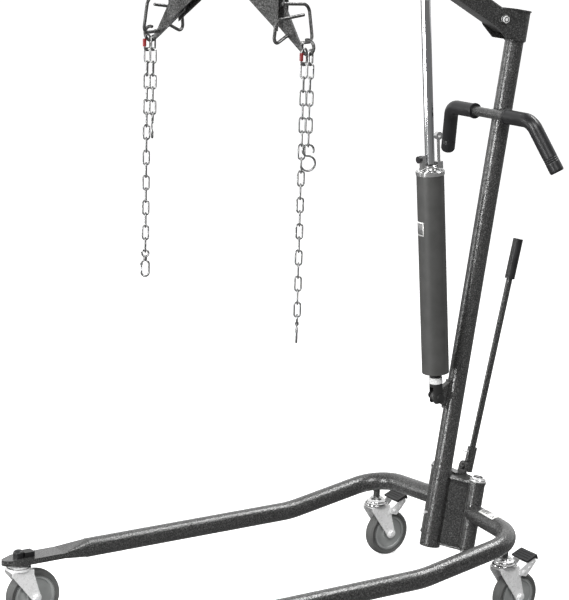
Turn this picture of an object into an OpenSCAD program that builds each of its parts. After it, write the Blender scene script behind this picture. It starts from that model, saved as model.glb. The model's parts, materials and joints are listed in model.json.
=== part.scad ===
// Mobile patient lift: mast on a spreading wheeled base, hydraulic ram, boom and swivel cradle
// with sling chains. Millimetres. +Z up, legs run toward -Y, mirror plane of the frame at X = 0.

/* [Base and legs] */
// Half distance between the leg tubes
leg_half = 296; // [240:1:340]
// Leg tube outer diameter
leg_d = 48.3; // [38:0.1:60]
// Height of the straight part of the leg
leg_z = 168.5; // [140:0.5:200]
// Slope of the rear part of the leg
leg_rise = 9.5; // [0:0.5:15]
// Front swivel axis behind (+) or ahead (-) of the mast line
front_y = -1103; // [-1300:1:-900]
// Rear swivel axis
rear_y = -33.6; // [-80:0.1:40]
// Half distance between the rear swivel axes
rear_half = 276; // [240:1:300]

/* [Casters] */
// Front wheel diameter
front_d = 140; // [100:1:160]
// Rear wheel diameter
rear_d = 127; // [100:1:150]
// Tyre width
tyre_w = 32; // [20:1:40]
// Caster trail
trail = 38; // [20:1:60]

/* [Mast] */
// Rearward lean of the mast
lean = 8.7; // [0:0.1:15]
// Mast tube outer diameter
mast_d = 48.3; // [38:0.1:60]
// Length of the mast from the floor along its own axis
mast_top = 1523; // [1200:1:1600]

/* [Boom] */
// Boom angle above level when fully raised
boom_up = 28.7; // [0:0.1:45]
// Side of the square boom tube
boom_w = 50; // [40:1:60]
// Length of the straight part of the boom
boom_len = 600; // [400:1:700]

/* [Ram] */
// Tilt of the ram when fully raised
ram_tilt = 4.87; // [0:0.01:10]
// Pin to pin length of the raised ram
ram_len = 1040; // [900:1:1100]
// Ram body diameter
ram_d = 70; // [50:1:90]
// Chrome rod diameter
rod_d = 24.5; // [16:0.5:35]

/* [Cradle and chains] */
// Turn of the cradle about its swivel
cradle_turn = 21; // [-180:1:180]
// Half distance between the tip rings
tip_half = 228; // [180:1:280]
// Chain pitch
pitch = 30.5; // [20:0.1:40]
// Chain wire diameter
wire_d = 4.3; // [3:0.1:6]

/* [Hidden] */
dy = 472.77;                               // shift that centres the outline on Y = 0
leg_r = leg_d / 2; leg_wall = 2.9;
lap = 0.5; step = 0.05;                      // overlap and step where straights meet bends
mast_r = mast_d / 2;
mast_y0 = -76.5;                           // where the mast axis meets the floor
sl_x = 80; sl_v = 56.5;                     // leg sleeve axis in the mast's own frame
bend_y = -305; bend_r = 300; arc_r = 92;
rise_len = 218;                            // along the slope, up to the rear arc
pivot_v = -66.7; pivot_u = 1497;           // boom pivot in the mast's own frame
pivot_y = mast_y0 + pivot_u * sin(lean) + pivot_v * cos(lean);
pivot_z = pivot_u * cos(lean) - pivot_v * sin(lean);
foot_y = -58; foot_z = 525;                // lower pin of the ram
eye_y = foot_y - ram_len * sin(ram_tilt);
eye_z = foot_z + ram_len * cos(ram_tilt);
tip_y = -712; tip_z = 1740;                // hanger pin
ring_z = 1456; ring_r = 16.5; ring_w = 4;    // tip ring centre height, radius and wire radius
gap = 0.06;                                // running clearance of a pin
fn_b = 64; fn_s = 32;

powder = [0.29, 0.29, 0.28];
zinc = [0.8, 0.81, 0.8];
black = [0.07, 0.07, 0.07];
chrome = [0.85, 0.86, 0.88];
rubber = [0.33, 0.33, 0.33];
hubgrey = [0.5, 0.51, 0.51];
rampaint = [0.26, 0.26, 0.25];
redpart = [0.5, 0.05, 0.05];

// ---------- helpers ----------
module on_mast() translate([0, mast_y0, 0]) rotate([-lean, 0, 0]) children();
module on_ram() translate([0, foot_y, foot_z]) rotate([ram_tilt, 0, 0]) children();
module on_boom() translate([0, pivot_y, pivot_z]) rotate([-boom_up, 0, 0]) children();
module on_cradle() translate([0, tip_y, 0]) rotate([0, 0, cradle_turn]) children();
module cyl_x(r, x0, x1, fn = fn_s) translate([x0, 0, 0]) rotate([0, 90, 0])
  cylinder(r = r, h = x1 - x0, $fn = fn);
module rod(p, q, r, fn = fn_s) {
  d = q - p; l = norm(d);
  translate(p) rotate([0, acos(d[2] / l), atan2(d[1], d[0])]) cylinder(r = r, h = l, $fn = fn);
}
function unit(v) = v / norm(v);
// round bar or tube along points, each corner bent to radius br on the centreline
module pipe(pts, r, br, fn = fn_s, bore = 0, steps = 96) {
  n = len(pts);
  t = [for (i = [0:n - 1]) i == 0 || i == n - 1 ? 0 : br * tan(acos(unit(pts[i] - pts[i - 1])
    * unit(pts[i + 1] - pts[i])) / 2)];
  for (i = [0:n - 2]) {
    d = unit(pts[i + 1] - pts[i]);
    // straights run a little into the bends, a hair thinner, so each joint is a clean step
    p = pts[i] + d * (t[i] - (i > 0 ? lap : 0)); q = pts[i + 1] - d * (t[i + 1] - (i < n - 2 ? lap : 0));
    difference() {
      rod(p, q, r - step, fn);
      if (bore > 0) rod(p - d, q + d, bore + step, fn);
    }
  }
  for (i = [1:n - 2]) {
    d1 = unit(pts[i] - pts[i - 1]); d2 = unit(pts[i + 1] - pts[i]);
    nn = unit(cross(d1, d2)); e1 = -cross(nn, d1);
    c = pts[i] - d1 * t[i] - e1 * br;
    multmatrix([[e1[0], d1[0], nn[0], c[0]], [e1[1], d1[1], nn[1], c[1]],
      [e1[2], d1[2], nn[2], c[2]], [0, 0, 0, 1]])
      rotate_extrude(angle = acos(d1 * d2), $fn = steps) translate([br, 0]) difference() {
        circle(r = r, $fn = fn);
        if (bore > 0) circle(r = bore, $fn = fn);
      }
  }
}
// side profile drawn in (Y, Z), extruded along X between x0 and x1
module side(x0, x1) translate([x0, 0, 0]) rotate([90, 0, 90])
  linear_extrude(height = x1 - x0) children();
module hex(r, h) cylinder(r = r, h = h, $fn = 6);

// ---------- base ----------
module mast_socket() color(powder) on_mast() difference() {
  translate([0, 0, 121]) cylinder(r = 27, h = 206, $fn = fn_b);
  translate([0, 0, 120]) cylinder(r = mast_r + 0.1, h = 208, $fn = fn_b);
  translate([0, 0, 211]) rotate([90, 0, 0]) cylinder(r = 3.1, h = 40, $fn = fn_s);
}
module housing_plan(o) polygon([[-24 + o, 12 + o], [-56 + o, 48.5 + o / 2], [-56 + o, 78 - o],
  [56 - o, 78 - o], [56 - o, 48.5 + o / 2], [24 - o, 12 + o]]);
module housing_plate() difference() {
  union() {
    for (s = [-1, 1]) translate([s * sl_x, sl_v]) circle(r = 23, $fn = fn_b);
    polygon([[-34, 4], [34, 4], [sl_x, sl_v - 23], [sl_x, sl_v + 22.5], [-sl_x, sl_v + 22.5],
      [-sl_x, sl_v - 23]]);
  }
  circle(r = 27.1, $fn = fn_b);
  for (s = [-1, 1]) translate([s * sl_x, sl_v]) circle(r = 10.1, $fn = fn_s);
}
module pivot_housing() color(powder) on_mast() {
  difference() {
    translate([0, 0, 136.5]) linear_extrude(height = 175) housing_plan(0);
    translate([0, 0, 136]) linear_extrude(height = 176) difference() {
      housing_plan(4);
      circle(r = 30.5, $fn = fn_b);
    }
    translate([0, 0, 120]) cylinder(r = 27.1, h = 208, $fn = fn_b);
  }
  for (u = [131, 311]) translate([0, 0, u]) linear_extrude(height = 6) housing_plate();
}
module leg_pivot_bolts() color(zinc) on_mast() for (s = [-1, 1]) translate([s * sl_x, sl_v, 0]) {
  translate([0, 0, 126]) cylinder(r = 10, h = 195, $fn = fn_s);
  translate([0, 0, 317.1]) cylinder(r = 20.5, h = 2.5, $fn = fn_b);
  translate([0, 0, 319.6]) hex(15, 8);
  translate([0, 0, 121]) hex(15, 9.9);
}
module mast_tube() color(powder) on_mast() difference() {
  translate([0, 0, 123]) cylinder(r = mast_r, h = mast_top - 123, $fn = fn_b);
  translate([0, 0, 122]) cylinder(r = mast_r - 2.6, h = mast_top - 120, $fn = fn_b);
  translate([0, 0, 211]) rotate([90, 0, 0]) cylinder(r = 3.1, h = 40, $fn = fn_s);
}
module mast_fasteners() color(zinc) {
  on_mast() translate([0, 0, 211]) {
    rotate([90, 0, 0]) cylinder(r = 3, h = 36, $fn = fn_s);
    translate([0, -36, 0]) rotate([90, 0, 0]) cylinder(r = 5, h = 5, $fn = fn_s);
    translate([-8, -43, -1.2]) cube([16, 5, 2.4]);
  }
  translate([0, pivot_y, pivot_z]) {
    cyl_x(6, -36, 36);
    cyl_x(11, 29, 31.2);
    cyl_x(11, -31.2, -29);
    translate([31, 0, 0]) rotate([0, 90, 0]) hex(9.5, 6);
    translate([-37, 0, 0]) rotate([0, 90, 0]) hex(9.5, 6);
  }
}
module bracket_side() {
  translate([pivot_v, pivot_u]) circle(r = 29, $fn = fn_b);
  polygon([[pivot_v, pivot_u + 29], [0, pivot_u + 29], [0, 1450], [-50.4, 1450],
    [pivot_v + 29 * cos(235), pivot_u + 29 * sin(235)]]);
}
module head_bracket() color(powder) difference() {
  on_mast() {
    for (x = [-28.9, 25.4]) side(x, x + 3.5) bracket_side();
    difference() {
      translate([0, 0, 1450]) cylinder(r = 28.9, h = 76, $fn = fn_b);
      translate([0, 0, 1449]) cylinder(r = mast_r + 0.1, h = 90, $fn = fn_b);
      translate([-40, -52, 1449]) cube([80, 40, 90]);
    }
    difference() {
      union() {
        translate([0, 0, 1524]) cylinder(r = 31.5, h = 4, $fn = fn_b);
        translate([-31.5, -37, 1524]) cube([63, 37, 4]);
      }
      translate([0, 0, 1520]) cylinder(r = 10, h = 4.5, $fn = fn_s);
    }
  }
  translate([0, pivot_y, pivot_z]) cyl_x(6.1, -60, 60);
}
module ram_lug() color(powder) difference() {
  union() {
    translate([0, foot_y, foot_z]) cyl_x(14, -7.5, 7.5);
    side(-7.5, 7.5) polygon([[foot_y, foot_z - 14], [-23.5, foot_z - 34], [-22, foot_z + 34],
      [foot_y, foot_z + 14]]);
    on_mast() translate([-11, -29.2, 490]) cube([22, 5, 76]);
  }
  on_mast() cylinder(r = mast_r + 0.05, h = 900, $fn = fn_b);
  translate([0, foot_y, foot_z]) cyl_x(7, -20, 20);
}
module ram_foot_pin() color(zinc) translate([0, foot_y, foot_z]) {
  cyl_x(6.9, -21, 21);
  cyl_x(10, 17.6, 21.5);
  cyl_x(10, -21.5, -17.6);
}
// handlebar: straight bar across the front of the mast, ends bent down, out and back
hb_y = 77.6; hb_z = 1250; hb_x = 160; hb_r = 12.5; hb_bend = 38; grip_r = 18.8;
hb_end = [220, 117, 1131]; hb_cap = [221.6, 118.1, 1127.8];
module handlebar() color(powder) difference() {
  pipe([[-hb_end[0], hb_end[1], hb_end[2]], [-hb_x, hb_y, hb_z], [hb_x, hb_y, hb_z], hb_end], hb_r,
    hb_bend);
  on_mast() cylinder(r = mast_r + 0.05, h = 1500, $fn = fn_b);
}
module handle_grips() color(black) for (s = [0, 1]) mirror([s, 0, 0]) {
  grip_end = hb_end + 0.12 * (hb_cap - hb_end);
  pipe([[60, hb_y, hb_z], [hb_x, hb_y, hb_z], grip_end], grip_r, hb_bend, bore = hb_r + 0.3);
  rod(grip_end, hb_cap, grip_r);
}

// ---------- legs ----------
module tube(r, h, wall, a = lap, b = lap) difference() {
  translate([0, 0, -a]) cylinder(r = r - step, h = h + a + b, $fn = fn_b);
  translate([0, 0, -a - 1]) cylinder(r = r - wall + step, h = h + a + b + 2, $fn = fn_b);
}
module bent(br, r, a, wall, steps) rotate_extrude(angle = a, $fn = steps) translate([br, 0])
  difference() {
    circle(r = r, $fn = fn_b);
    circle(r = r - wall, $fn = fn_b);
  }
// front straight, easing bend, slope, rear arc and stub, drawn for the +X leg
stub_turn = 6.2;                           // the stub runs back to the sleeve by this much
stub_len = (leg_half - arc_r * (1 - sin(stub_turn)) - sl_x) / cos(stub_turn);
tip_y0 = -918;                             // where the round tube ends at the front
module on_stub() translate([leg_half, bend_y, leg_z]) rotate([leg_rise, 0, 0])
  translate([-arc_r, rise_len, 0]) rotate([0, 0, 90 - stub_turn]) translate([arc_r, 0, 0])
    rotate([-90, 0, 0]) children();
module leg_tube() {
  e = bend_r * tan(leg_rise / 2);
  translate([leg_half, tip_y0, leg_z]) rotate([-90, 0, 0])
    tube(leg_r, bend_y - e - tip_y0, leg_wall, 0);
  translate([leg_half, bend_y - e, leg_z + bend_r]) rotate([0, 90, 0])
    bent(bend_r, leg_r, leg_rise, leg_wall, 180);
  translate([leg_half, bend_y, leg_z]) rotate([leg_rise, 0, 0]) {
    translate([0, e, 0]) rotate([-90, 0, 0]) tube(leg_r, rise_len - e, leg_wall);
    translate([-arc_r, rise_len, 0]) bent(arc_r, leg_r, 90 - stub_turn, leg_wall, fn_b);
  }
  on_stub() tube(leg_r, stub_len - 28, leg_wall, lap, 0);
}
module leg() difference() {
  union() {
    leg_tube();
    on_stub() translate([0, 0, stub_len - 28.5]) cylinder(r = leg_r - 0.3, h = 28.5, $fn = fn_b);
    on_mast() translate([sl_x, sl_v, 138]) cylinder(r = 21.2, h = 172, $fn = fn_b);
    // pressed front end
    hull() {
      translate([leg_half, tip_y0 + 3, leg_z]) rotate([-90, 0, 0])
        cylinder(r = leg_r - 0.5, h = 1, $fn = 32);
      translate([leg_half - 29, -991, leg_z - 7]) cube([58, 1, 14]);
    }
    translate([leg_half - 29, front_y, leg_z - 7]) cube([58, -990.5 - front_y, 14]);
    hull() for (e = [[0, 29], [-32, 13]])
      translate([leg_half, front_y + e[0], leg_z - 7]) cylinder(r = e[1], h = 14, $fn = fn_b);
    // rear caster boss
    translate([rear_half, rear_y, 171]) cylinder(r = 9, h = 36, $fn = fn_s);
  }
  on_mast() translate([sl_x, sl_v, 0]) {
    translate([0, 0, 130]) cylinder(r = 10 + gap, h = 200, $fn = fn_s);
    translate([0, 0, 158]) cylinder(r = 17, h = 132, $fn = fn_b);
  }
  translate([rear_half, rear_y, 150]) cylinder(r = 6 + gap, h = 45, $fn = fn_s);
  translate([leg_half, front_y, 150]) cylinder(r = 6 + gap, h = 40, $fn = fn_s);
  // drain hole under the tube
  translate([leg_half, -700, leg_z - leg_r - 2]) cylinder(r = 4, h = 12, $fn = fn_s);
}
module left_leg() color(powder) leg();
module right_leg() color(powder) mirror([1, 0, 0]) leg();
module leg_nut() {
  z = leg_z + 7.1;
  difference() {
    union() {
      translate([leg_half, front_y, z]) cylinder(r = 13.5, h = 12, $fn = fn_s);
      translate([leg_half, front_y, z + 12]) intersection() {
        scale([1, 1, 0.6]) sphere(r = 13.5, $fn = fn_s);
        cylinder(r = 20, h = 20, $fn = fn_s);
      }
      translate([leg_half - 13, front_y + 12, z]) cube([26, 26, 13]);
    }
    translate([leg_half, front_y, z - 1]) cylinder(r = 6.5, h = 8, $fn = fn_s);
  }
}
module left_leg_nut() color(black) leg_nut();
module right_leg_nut() color(black) mirror([1, 0, 0]) leg_nut();

// ---------- shift lever ----------
lv_y = 60; lv_z = 318; lv_lean = 12.2;     // lever pivot
module on_lever() translate([0, lv_y, lv_z]) rotate([-lv_lean, 0, 0]) children();
module lever_bracket() color(powder) difference() {
  union() {
    on_mast() translate([-17, 32, 317.1]) cube([34, 42, 5]);
    on_lever() {
      translate([0, -15, 0]) rotate([90, 0, 0]) cylinder(r = 15, h = 6, $fn = fn_s);
      translate([-15, -21, -14]) cube([30, 6, 14]);
    }
  }
  on_lever() translate([0, 20, 0]) rotate([90, 0, 0]) cylinder(r = 5, h = 80, $fn = fn_s);
  on_lever() translate([-40, -14.8, -30]) cube([80, 40, 60]);
  on_mast() translate([-40, 0, 280]) cube([80, 80, 37.1]);
}
module shift_lever() color(powder) on_lever() {
  translate([0, 0, 12]) cylinder(r = 8, h = 590, $fn = fn_s);
  difference() {
    translate([0, 0, -13.5]) cylinder(r = 12.5, h = 66.5, $fn = fn_s);
    translate([0, 0, 11.9]) cylinder(r = 8.1, h = 60, $fn = fn_s);
    translate([0, -6, 40]) rotate([90, 0, 0]) cylinder(r = 2.6, h = 20, $fn = fn_s);
  }
  translate([0, 0, 11.9]) cylinder(r = 8.1, h = 3, $fn = fn_s);
  translate([0, -11, 0]) rotate([90, 0, 0]) cylinder(r = 15, h = 3.5, $fn = 6);
  translate([0, -8, 0]) rotate([90, 0, 0]) cylinder(r = 4.94, h = 19, $fn = fn_s);
  translate([0, -21.3, 0]) rotate([90, 0, 0]) cylinder(r = 9, h = 6, $fn = 6);
}
module lever_grip() color(black) on_lever() difference() {
  translate([0, 0, 508]) cylinder(r = 13, h = 106, $fn = fn_s);
  translate([0, 0, 500]) cylinder(r = 8.1, h = 102.2, $fn = fn_s);
}
module lever_screw() color(zinc) on_lever() translate([0, 0, 40]) {
  translate([0, -8.6, 0]) rotate([90, 0, 0]) cylinder(r = 2.5, h = 13, $fn = fn_s);
  translate([-7, -28, -1.2]) cube([14, 7, 2.4]);
}

// ---------- casters ----------
module fork(d, top, dome = false) {
  r = d / 2;
  difference() {
    union() {
      translate([0, 0, top - 9]) cylinder(r = 31, h = 6, $fn = fn_b);
      translate([0, 0, top - 3]) cylinder(r1 = 27, r2 = 21, h = 4, $fn = fn_b);
      translate([0, 0, top + 1]) cylinder(r = 13, h = 4, $fn = fn_s);
      if (dome) {
        translate([0, 0, top + 1]) cylinder(r = 24.5, h = 4, $fn = fn_b);
        translate([0, 0, top + 5]) cylinder(r1 = 24.5, r2 = 17, h = 5, $fn = fn_b);
        translate([0, 0, top + 10]) cylinder(r = 15, h = 4.4, $fn = fn_b);
      }
      cylinder_stem(top, dome ? 33 : 27);
      translate([-24, -27, top - 13]) cube([48, 58, 4]);
      for (x = [-24, 20.5]) side(x, x + 3.5) {
        polygon([[-27, top - 9.5], [-27, top - 20], [trail - 12.5, r - 3], [trail + 12.5, r - 3],
          [31, top - 20], [31, top - 9.5]]);
        translate([trail, r]) circle(r = 13, $fn = fn_s);
      }
    }
    translate([0, trail, r]) cyl_x(r + 4, -17.5, 17.5, fn_b);
  }
  translate([0, trail, r]) {
    cyl_x(5, -29, 29);
    translate([24, 0, 0]) rotate([0, 90, 0]) cylinder(r = 9, h = 5, $fn = 6);
    translate([-29, 0, 0]) rotate([0, 90, 0]) cylinder(r = 9, h = 5, $fn = 6);
  }
}
module cylinder_stem(top, h) translate([0, 0, top]) cylinder(r = 6, h = h, $fn = fn_s);
module tyre(d) {
  r = d / 2; w = tyre_w / 2;
  translate([0, trail, r]) rotate([0, 90, 0]) rotate_extrude($fn = 96)
    polygon([[r - 15, -w + 2], [r - 6, -w], [r - 2, -w + 4], [r - 0.4, -w + 10], [r, 0],
      [r - 0.4, w - 10], [r - 2, w - 4], [r - 6, w], [r - 15, w - 2]]);
}
module hub(d) {
  r = d / 2 - 15.1; w = tyre_w / 2;
  translate([0, trail, d / 2]) rotate([0, 90, 0]) rotate_extrude($fn = 96)
    polygon([[5 + gap, -w - 3], [11, -w - 3], [11, -w + 5], [r - 8, -w + 4], [r - 7, -w + 1],
      [r, -w + 1], [r, w - 1], [r - 7, w - 1], [r - 8, w - 4], [11, w - 5], [11, w + 3],
      [5 + gap, w + 3]]);
}
f_top = 155; r_top = 156;
module at_fl() translate([leg_half, front_y, 0]) children();
module at_fr() mirror([1, 0, 0]) at_fl() children();
module at_rl() translate([rear_half, rear_y, 0]) children();
module at_rr() mirror([1, 0, 0]) at_rl() children();
module fl_fork() color(zinc) at_fl() fork(front_d, f_top);
module fr_fork() color(zinc) at_fr() fork(front_d, f_top);
module rl_fork() color(zinc) at_rl() brake_fork();
module rr_fork() color(zinc) at_rr() brake_fork();
module fl_tyre() color(rubber) at_fl() tyre(front_d);
module fr_tyre() color(rubber) at_fr() tyre(front_d);
module rl_tyre() color(rubber) at_rl() tyre(rear_d);
module rr_tyre() color(rubber) at_rr() tyre(rear_d);
module fl_hub() color(hubgrey) at_fl() hub(front_d);
module fr_hub() color(hubgrey) at_fr() hub(front_d);
module rl_hub() color(hubgrey) at_rl() hub(rear_d);
module rr_hub() color(hubgrey) at_rr() hub(rear_d);
// brake: arm hinged on the fork behind the swivel, pedal on top
br_y = 42; br_z = 131;
module on_pedal() translate([0, 50, 155]) rotate([22, 0, 0]) children();
module brake_arm() difference() {
  union() {
    for (x = [-28, 25]) side(x, x + 3) polygon([[30, 124], [30, 139], [46, 147],
      [53.3, 152], [77.9, 162], [80.5, 152], [66, 134], [50, 118]]);
    on_pedal() translate([-27, 5, -9]) cube([54, 21, 3]);
  }
  translate([0, br_y, br_z]) cyl_x(4.1, -40, 40);
}
module brake_fork() {
  fork(rear_d, r_top, true);
  for (x = [-24, 20.5]) side(x, x + 3.5) polygon([[10, 112], [10, 142], [46, 139], [50, 130],
    [44, 121]]);
  translate([0, br_y, br_z]) { cyl_x(4, 23.9, 30.5); cyl_x(4, -30.5, -23.9); }
}
module pedal() on_pedal() {
  difference() {
    translate([-31, 0, 0]) cube([62, 34, 5]);
    for (i = [0:2]) translate([-25, 7 + i * 8, 4]) cube([50, 3, 2]);
  }
  translate([-31, 30, -8]) cube([62, 4, 9]);
  translate([-14, 6, -5.9]) cube([28, 20, 6]);
}
module rl_brake_arm() color(zinc) at_rl() brake_arm();
module rr_brake_arm() color(zinc) at_rr() brake_arm();
module rl_pedal() color(black) at_rl() pedal();
module rr_pedal() color(black) at_rr() pedal();

// ---------- ram ----------
ram_r = ram_d / 2; rod_r = rod_d / 2;
body0 = 65; body1 = 583;
module ram_body() color(rampaint) on_ram() difference() {
  translate([0, 0, body0]) cylinder(r = ram_r, h = body1 - body0, $fn = fn_b);
  translate([0, 0, body0 + 25]) cylinder(r = 20, h = 600, $fn = fn_b);
  translate([0, 28, body1 - 40]) cylinder(r = 4.5, h = 50, $fn = fn_s);
}
module ram_cap() color(zinc) on_ram() difference() {
  union() {
    translate([0, 0, body1 + 0.1]) cylinder(r = ram_r + 1.5, h = 5, $fn = fn_b);
    translate([0, 0, body1 + 5.1]) cylinder(r = ram_r - 2, h = 6, $fn = fn_b);
    translate([0, 0, body1 + 11.1]) cylinder(r = 17, h = 9, $fn = fn_s);
    translate([-10, 17, body1 + 11.1]) cube([20, 17, 20]);
    translate([-6, -28, body1 + 11.1]) cube([12, 9, 40]);
    for (a = [35:60:335]) rotate([0, 0, a]) translate([28, 0, body1 + 11]) cylinder(r = 3.5, h = 4, $fn = 6);
  }
  translate([0, 0, body1 - 1]) cylinder(r = rod_r + gap, h = 60, $fn = fn_b);
  translate([0, 28, body1 - 1]) cylinder(r = 4 + gap, h = 60, $fn = fn_s);
  translate([0, -15, body1 + 42]) rotate([90, 0, 0]) cylinder(r = 3 + gap, h = 30, $fn = fn_s);
}
module ram_foot() color(black) on_ram() difference() {
  union() {
    translate([0, 0, -13]) cylinder(r = 17, h = 49, $fn = fn_b);
    translate([0, 0, -18]) cylinder(r1 = 12, r2 = 17, h = 5.01, $fn = fn_b);
    translate([0, 0, 34]) cylinder(r = 16, h = 21, $fn = fn_s);
    translate([0, 0, 54]) cylinder(r = 11, h = 10.9, $fn = fn_s);
  }
  translate([-8.2, -30, -30]) cube([16.4, 60, 58]);
  cyl_x(6.9 + gap, -30, 30);
}
module release_knob() color(black) on_ram() translate([0, -19.2, body1 + 42]) {
  rotate([90, 0, 0]) cylinder(r = 3, h = 12, $fn = fn_s);
  translate([0, -9.4, 0]) rotate([90, 0, 0]) cylinder(r = 9, h = 8.5, $fn = 24);
}
module pump_plunger() color(chrome) on_ram() translate([0, 28, 0]) {
  translate([0, 0, body1 - 15]) cylinder(r = 4, h = 101, $fn = fn_s);
  translate([0, 0, body1 + 95]) difference() {
    cyl_x(10, -6, 6);
    cyl_x(4.5, -8, 8);
  }
}
module ram_rod() color(chrome) on_ram() translate([0, 0, body1 - 260])
  cylinder(r = rod_r, h = ram_len - 21 - body1 + 260, $fn = fn_b);
module rod_eye() color(zinc) on_ram() translate([0, 0, ram_len]) {
  difference() {
    union() {
      cyl_x(15, -8, 8);
      translate([-8, -11, -20.9]) cube([16, 22, 20]);
    }
    cyl_x(8, -20, 20);
  }
  cyl_x(7.9, -7.9, 7.9);
}

// ---------- boom ----------
bw = boom_w / 2; wall = 3;
boom_br = 150; boom_drop = boom_up + 5; nose_len = 207;
// side outline of the boom in its own frame, drawn toward -y: straight, bend, nose
function bend_pt(r, a) = [-boom_len - r * sin(a), -boom_br + r * cos(a)];
function nose_pt(r, l) = bend_pt(r, boom_drop) - l * [cos(boom_drop), sin(boom_drop)];
bend_steps = 30;
module boom_side(w, back, front) polygon(concat([[back, boom_w / 2 - bw + w]],
  [for (i = [0:bend_steps]) bend_pt(boom_br + w, boom_drop * i / bend_steps)],
  [nose_pt(boom_br + w, front), nose_pt(boom_br - w, front)],
  [for (i = [bend_steps:-1:0]) bend_pt(boom_br - w, boom_drop * i / bend_steps)],
  [[back, -w]]));
module boom() color(powder) difference() {
  on_boom() side(-bw, bw) boom_side(bw, 25, nose_len);
  difference() {
    on_boom() side(-bw + wall, bw - wall) boom_side(bw - wall, 40, nose_len - 4);
    translate([0, pivot_y, pivot_z]) cyl_x(10, -60, 60);
  }
  translate([0, pivot_y, pivot_z]) cyl_x(6 + gap, -60, 60);
}
// lower pivot of the rod, in the boom's own frame
eye_by = (eye_y - pivot_y) * cos(boom_up) - (eye_z - pivot_z) * sin(boom_up);
eye_bz = (eye_y - pivot_y) * sin(boom_up) + (eye_z - pivot_z) * cos(boom_up);
module boom_lug() color(powder) for (x = [-13.5, 9.5]) {
  on_boom() side(x, x + 4) {
    polygon([[-278, -bw - 0.1], [-190, -bw - 0.1], [-219, -54], [-253, -54]]);
    translate([eye_by, eye_bz]) circle(r = 15, $fn = fn_b);
  }
  translate([0, eye_y, eye_z]) cyl_x(10, x > 0 ? 13.2 : -18.4, x > 0 ? 18.4 : -13.2);
}
module hanger_cheeks() color(powder) {
  for (x = [-14, 10]) side(x, x + 4) {
    polygon(concat([for (a = [180:7.5:360]) [tip_y + 20 * cos(a), tip_z + 20 * sin(a)]],
      [[tip_y + 20, 1756.3], [tip_y - 20, 1752.8]]));
  }
  translate([0, tip_y, tip_z]) {
    cyl_x(6, -17, 17);
    cyl_x(10, 14, 19);
    cyl_x(10, -19, -14);
  }
}
module hanger() color(zinc) {
  difference() {
    union() {
      translate([0, tip_y, tip_z]) cyl_x(13.5, -9.5, 9.5);
      translate([0, tip_y, 1697]) cylinder(r = 9, h = 34, $fn = fn_s);
    }
    translate([0, tip_y, tip_z]) cyl_x(6 + gap, -20, 20);
  }
  translate([0, tip_y, 1655]) cylinder(r = 8, h = 60, $fn = fn_s);
  translate([0, tip_y, 1691]) cylinder(r = 16, h = 8, $fn = fn_s);
  translate([0, tip_y, 1661]) hex(14, 11);
}

// ---------- cradle ----------
function low_z(x) = 1613.8 - 0.8 * x;
module arm_profile(x1, dz) polygon([[-x1, low_z(x1) + dz], [-x1, low_z(x1) + 84 + dz], [-22, 1680 + dz],
  [22, 1680 + dz], [x1, low_z(x1) + 84 + dz], [x1, low_z(x1) + dz], [0, 1613.8 + dz]]);
module cradle_bar() color(powder) on_cradle() difference() {
  union() {
    translate([0, 20.5, 0]) rotate([90, 0, 0]) linear_extrude(height = 41) arm_profile(158, 0);
    translate([0, 0, 1678]) cylinder(r = 19, h = 12.5, $fn = fn_s);
  }
  translate([0, 17.5, 0]) rotate([90, 0, 0]) linear_extrude(height = 35) arm_profile(170, -4);
  translate([0, 0, 1600]) cylinder(r = 8 + gap, h = 120, $fn = fn_s);
}
blade = [[125, 1516], [160, 1486.5], [211, 1444], [216, 1448], [170, 1533], [158, 1557], [125, 1583]];
module two_ends() for (a = [0, 180]) rotate([0, 0, a]) children();
module cradle_blades() color(powder) on_cradle() two_ends() {
  translate([0, 3, 0]) rotate([90, 0, 0]) linear_extrude(height = 6) polygon(blade);
  translate([128, -17.4, 1520]) cube([14, 34.8, 45]);
  translate([tip_half, 0, ring_z]) rotate([90, 0, 0]) rotate([0, 0, -215])
    rotate_extrude(angle = 325, $fn = fn_b) translate([ring_r, 0]) circle(r = ring_w, $fn = fn_s);
}
low_hook = [[178, -3.1, 1478], [178, -12, 1478], [178, -62, 1458], [186, -64, 1516], [204, 16, 1526]];
high_hook = [[201, 3.5, 1463], [196, 64, 1463], [180, 68, 1546], [172, -22, 1550]];
module cradle_hooks() color(powder) on_cradle() two_ends() {
  pipe(low_hook, 4, 15, 24, steps = 48);
  pipe(high_hook, 4, 18, 24, steps = 48);
}

// ---------- chains ----------
link_w = 18.4;                              // outer width of a link
cg = 0.35;                                  // slack left between neighbouring links
dx = 9.1;                                   // strand to ring centre
quick_in = 32; quick_w = 26; quick_d = 5.2; // joining link: inner length, outer width, wire
module oval(inner, outw, w) {
  // closed link standing in the XZ plane, top inner point at the origin
  r = outw / 2 - w / 2; cz = inner / 2 - (outw / 2 - w);
  translate([0, 0, -inner / 2]) for (s = [-1, 1]) {
    translate([s * r, 0, -cz]) cylinder(r = w / 2, h = 2 * cz, $fn = fn_s);
    translate([0, 0, s * cz]) rotate([90, 0, 0]) rotate([0, 0, s > 0 ? 0 : 180])
      rotate_extrude(angle = 180, $fn = fn_s) translate([r, 0]) circle(r = w / 2, $fn = fn_s);
  }
}
// links turn a quarter each, plus a small natural twist that settles at 36 degrees
function twist(i) = i == 0 ? 0 : i == 1 ? 16 : i == 2 ? 30 : 36;
module chain(n, first) for (i = [0:n - 1]) translate([0, 0, -i * pitch])
  rotate([0, 0, (i + first + 1) % 2 * 90 + twist(i + first)]) oval(pitch + cg, link_w, wire_d);
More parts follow.
